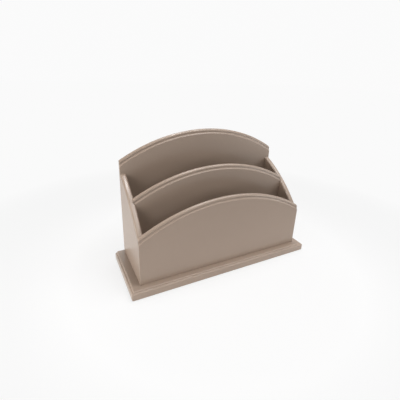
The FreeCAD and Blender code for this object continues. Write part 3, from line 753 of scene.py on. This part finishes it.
def felt_tree():
    """A square of felt with soft corners and a ragged cut edge, laid at each point."""
    tree, given, result = new_group(
        "felt_pads", "GeometryNodeTree",
        [("Places", "NodeSocketGeometry", None), ("Side", "NodeSocketFloat", PAD_SIDE),
         ("Thickness", "NodeSocketFloat", PAD_THICK), ("Threads", "NodeSocketInt", 33),
         ("Corner Pull", "NodeSocketFloat", 0.09), ("Ragged", "NodeSocketFloat", 0.16 * MM),
         ("Nap", "NodeSocketFloat", 0.09 * MM), ("Felt", "NodeSocketMaterial", None)],
        [("Pads", "NodeSocketGeometry")])
    tree.is_modifier = True
    give = given.outputs
    sheet = add_node(tree, "GeometryNodeMeshGrid", give["Side"], give["Side"],
                     give["Threads"], give["Threads"])
    now = add_node(tree, "GeometryNodeInputPosition")
    half = sums(tree, "MULTIPLY", give["Side"], 0.5)
    unit = scaled(tree, now, sums(tree, "DIVIDE", 1.0, half))
    flat = add_node(tree, "ShaderNodeSeparateXYZ", unit)
    corner = sums(tree, "MULTIPLY", flat.outputs["X"], flat.outputs["Y"])
    corner = sums(tree, "POWER", sums(tree, "ABSOLUTE", corner), 4.0)
    pull = sums(tree, "SUBTRACT", CUT_SIZE, sums(tree, "MULTIPLY", corner, give["Corner Pull"]))
    cut = add_node(tree, "GeometryNodeSetPosition", sheet)
    feed(tree, cut.inputs["Position"], scaled(tree, now, pull))
    half_thick = sums(tree, "MULTIPLY", give["Thickness"], 0.5)
    middle = add_node(tree, "GeometryNodeExtrudeMesh", cut, mode="FACES")
    middle.inputs["Individual"].default_value = False
    feed(tree, middle.inputs["Offset Scale"], half_thick)
    upper = add_node(tree, "GeometryNodeExtrudeMesh", middle, mode="FACES")
    upper.inputs["Individual"].default_value = False
    feed(tree, upper.inputs["Offset Scale"], half_thick)
    feed(tree, upper.inputs["Selection"], middle.outputs["Top"])
    under = add_node(tree, "GeometryNodeFlipFaces", cut)
    whole = tree.nodes.new("GeometryNodeJoinGeometry")
    feed(tree, whole.inputs["Geometry"], upper)
    feed(tree, whole.inputs["Geometry"], under)
    sewn = add_node(tree, "GeometryNodeMergeByDistance", whole)
    feed(tree, sewn.inputs["Distance"], NET_WELD)
    laid = add_node(tree, "GeometryNodeInstanceOnPoints", give["Places"])
    feed(tree, laid.inputs["Instance"], sewn)
    real = add_node(tree, "GeometryNodeRealizeInstances", laid)
    fibres = noise(tree, now, FIBRE_SCALE)
    stray = add_node(tree, "ShaderNodeVectorMath", fibres.outputs["Color"], (0.5, 0.5, 0.5),
                     operation="SUBTRACT")
    stray = add_node(tree, "ShaderNodeSeparateXYZ", stray)
    height = add_node(tree, "ShaderNodeSeparateXYZ", now).outputs["Z"]
    at_foot = sums(tree, "LESS_THAN", height, sums(tree, "MULTIPLY", give["Thickness"], 0.25))
    lift = sums(tree, "MULTIPLY", sums(tree, "MULTIPLY", at_foot, give["Nap"]),
                sums(tree, "MAXIMUM", stray.outputs["Z"], 0.0))
    aside = sums(tree, "MULTIPLY", stray.outputs["X"], give["Ragged"])
    along = sums(tree, "MULTIPLY", stray.outputs["Y"], give["Ragged"])
    shift = add_node(tree, "ShaderNodeCombineXYZ", aside, along, lift)
    napped = add_node(tree, "GeometryNodeSetPosition", real)
    feed(tree, napped.inputs["Offset"], shift)
    dressed = add_node(tree, "GeometryNodeSetMaterial", napped)
    feed(tree, dressed.inputs["Material"], give["Felt"])
    feed(tree, result.inputs["Pads"], dressed)
    return tree


DARK_WOOL = (0.060, 0.047, 0.038, 1)
PALE_WOOL = (0.150, 0.122, 0.100, 1)
MATTED_SCALE = 1500
STRAND_SCALE = 3400
STRAND_LIES = (0.6, 1.7, 2.7)


def pressed_felt(name):
    """Matted wool: short fibres in two browns that lie three ways, soft and without gloss."""
    material, tree, shader = new_material(name)
    place = add_node(tree, "ShaderNodeTexCoord").outputs["Object"]
    matted = noise(tree, place, MATTED_SCALE, detail=6, distortion=2.5)
    strands = []
    for lie in STRAND_LIES:
        turned = add_node(tree, "ShaderNodeMapping", place)
        turned.inputs["Rotation"].default_value = (0, 0, lie)
        drawn = add_node(tree, "ShaderNodeMapping", turned)
        drawn.inputs["Scale"].default_value = (1, 0.14, 1)
        strands.append(noise(tree, drawn, STRAND_SCALE, detail=1, distortion=0.8))
    topmost = sums(tree, "MAXIMUM", sums(tree, "MAXIMUM", strands[0], strands[1]), strands[2])
    fibre = sums(tree, "MULTIPLY_ADD", matted, 0.45, topmost)
    tone = remap(tree, fibre, 0.68, 1.0, 0, 1)
    feed(tree, shader.inputs["Base Color"], blend_colours(tree, tone, DARK_WOOL, PALE_WOOL))
    feed(tree, shader.inputs["Roughness"], remap(tree, tone, 0, 1, 0.98, 0.86))
    add_relief(tree, shader, fibre, strength=0.7, depth=0.12 * MM)
    shader.inputs["Specular IOR Level"].default_value = 0.15
    shader.inputs["Sheen Weight"].default_value = 0.3
    return material


FELT = pressed_felt("pressed_felt")
pad_points = bpy.data.meshes.new("pad_places")
pad_places = [((low.x + high.x) / 2, (low.y + high.y) / 2, low.z) for low, high in pad_boxes]
pad_points.from_pydata(pad_places, [], [])
pad_piece = bpy.data.objects.new("pad_places", pad_points)
bpy.context.collection.objects.link(pad_piece)
grown = grow(pad_piece, felt_tree(), {"Side": PAD_SIDE, "Thickness": PAD_THICK, "Felt": FELT})
pad_mesh = bmesh.new()
pad_mesh.from_mesh(grown)
bpy.data.meshes.remove(grown)
pads = finish_piece(pad_mesh, "felt_pads", FELT, 50)
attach(pads, "root")
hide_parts(*PAD_LABELS)


# Studio: a round of white paper on a dark table, a low window and a low lamp on the left, three
# lamps overhead, two small low ones in front and a fill behind. The table and the room show as
# white to the camera and to anything glossy, and the table is clear from beneath.
BACKDROP_WHITE = 0.96
PAPER_SHOWN = 0.925
PAPER_WHITE = 0.93
TABLE_DARK = 0.06
PAPER_RADIUS = 0.22
TABLE_FROM = 0.5
BY_THE_RACK = 0.2
CLEAR_OF_RACK = 0.36
ROOM_LIGHT = 0.13
TABLE_HALF = 6
table_mesh = bpy.data.meshes.new("table")
corners = [(x * TABLE_HALF, y * TABLE_HALF, 0) for x, y in ((-1, -1), (1, -1), (1, 1), (-1, 1))]
table_mesh.from_pydata(corners, [], [(0, 1, 2, 3)])
table = bpy.data.objects.new("table", table_mesh)
bpy.context.collection.objects.link(table)


def background_seen(tree):
    """1 for a ray from the camera, off gloss or through glass, and 0 for one that lights."""
    ray = add_node(tree, "ShaderNodeLightPath").outputs
    mirrored = sums(tree, "MAXIMUM", ray["Is Glossy Ray"], ray["Is Transmission Ray"])
    return sums(tree, "MAXIMUM", ray["Is Camera Ray"], mirrored)


table_white, tree, shader = new_material("white_table")
place = add_node(tree, "ShaderNodeTexCoord").outputs["Object"]
away = add_node(tree, "ShaderNodeVectorMath", place, operation="LENGTH").outputs["Value"]
paper = remap(tree, away, PAPER_RADIUS, TABLE_FROM, PAPER_WHITE, TABLE_DARK)
feed(tree, shader.inputs["Base Color"], paper)
shader.inputs["Roughness"].default_value = 0.6
shader.inputs["Specular IOR Level"].default_value = 0.2
shown = remap(tree, away, BY_THE_RACK, CLEAR_OF_RACK, PAPER_SHOWN, BACKDROP_WHITE)
glow = add_node(tree, "ShaderNodeEmission", (1, 1, 1, 1), shown)
glow_share = remap(tree, away, PAPER_RADIUS, TABLE_FROM, 0.80, 0.995)
seen = sums(tree, "MULTIPLY", background_seen(tree), glow_share)
mix = add_node(tree, "ShaderNodeMixShader", seen, shader.outputs["BSDF"], glow)
clear = tree.nodes.new("ShaderNodeBsdfTransparent")
from_below = add_node(tree, "ShaderNodeNewGeometry").outputs["Backfacing"]
mix = add_node(tree, "ShaderNodeMixShader", from_below, mix, clear)
feed(tree, tree.nodes["Material Output"].inputs["Surface"], mix)
table_mesh.materials.append(table_white)

world = bpy.data.worlds.new("white_room")
bpy.context.scene.world = world
world.use_nodes = True
tree = world.node_tree
sky = tree.nodes["Background"]
sky.inputs["Color"].default_value = (1, 1, 1, 1)
strength = remap(tree, background_seen(tree), 0, 1, ROOM_LIGHT, BACKDROP_WHITE)
feed(tree, sky.inputs["Strength"], strength)


def soft_lamp(name, place, width, height, power, aim=(0, 0, 0.08), colour=(1, 1, 1)):
    """A rectangular lamp, turned to the middle of the rack if it has no other aim."""
    data = bpy.data.lights.new(name, "AREA")
    data.shape = "RECTANGLE"
    data.size = width
    data.size_y = height
    data.energy = power
    data.color = colour
    lamp = bpy.data.objects.new(name, data)
    bpy.context.collection.objects.link(lamp)
    lamp.location = place
    lamp.rotation_euler = (Vector(aim) - Vector(place)).to_track_quat("-Z", "Y").to_euler()


WARM = (1, 0.985, 0.96)
soft_lamp("left_window", (-1.5, -0.25, 0.32), 1.1, 0.5, 6.0, colour=WARM)
soft_lamp("left_lamp", (-0.7, 0.1, 0.2), 0.45, 0.25, 1.8, colour=WARM)
soft_lamp("softbox_right", (0.6, -0.2, 1.2), 0.6, 0.6, 6.4)
soft_lamp("softbox_front", (0.15, -0.45, 1.2), 0.7, 0.6, 5.6)
soft_lamp("lamp_above", (0.09, 0.19, 1.25), 0.25, 0.25, 4.5)
soft_lamp("front_left", (-0.55, -0.5, 0.16), 0.25, 0.2, 1.1, aim=(-0.1, 0, 0.03))
soft_lamp("front_right", (0.62, -0.5, 0.16), 0.25, 0.2, 0.95, aim=(0.1, 0, 0.03))
soft_lamp("back_fill", (0.3, 1.8, 0.7), 1.2, 0.9, 6.0)

scene = bpy.context.scene
scene.view_settings.view_transform = "Standard"

camera_data = bpy.data.cameras.new("camera")
camera_data.sensor_width = 36
camera_data.lens = 26.299
camera_data.shift_x = -0.0049
camera_data.shift_y = -0.0467
camera_data.clip_start = 0.01
camera = bpy.data.objects.new("camera", camera_data)
scene.collection.objects.link(camera)
EYE = (-0.2060, -0.3458, 0.2776)
YAW = math.radians(27.656)
DOWN = math.radians(20.771)
ROLL = math.radians(2.156)
turned = (Matrix.Rotation(-YAW, 4, "Z") @ Matrix.Rotation(math.pi / 2 - DOWN, 4, "X")
          @ Matrix.Rotation(ROLL, 4, "Z"))
camera.matrix_world = Matrix.Translation(EYE) @ turned
scene.camera = camera

bpy.context.view_layer.update()
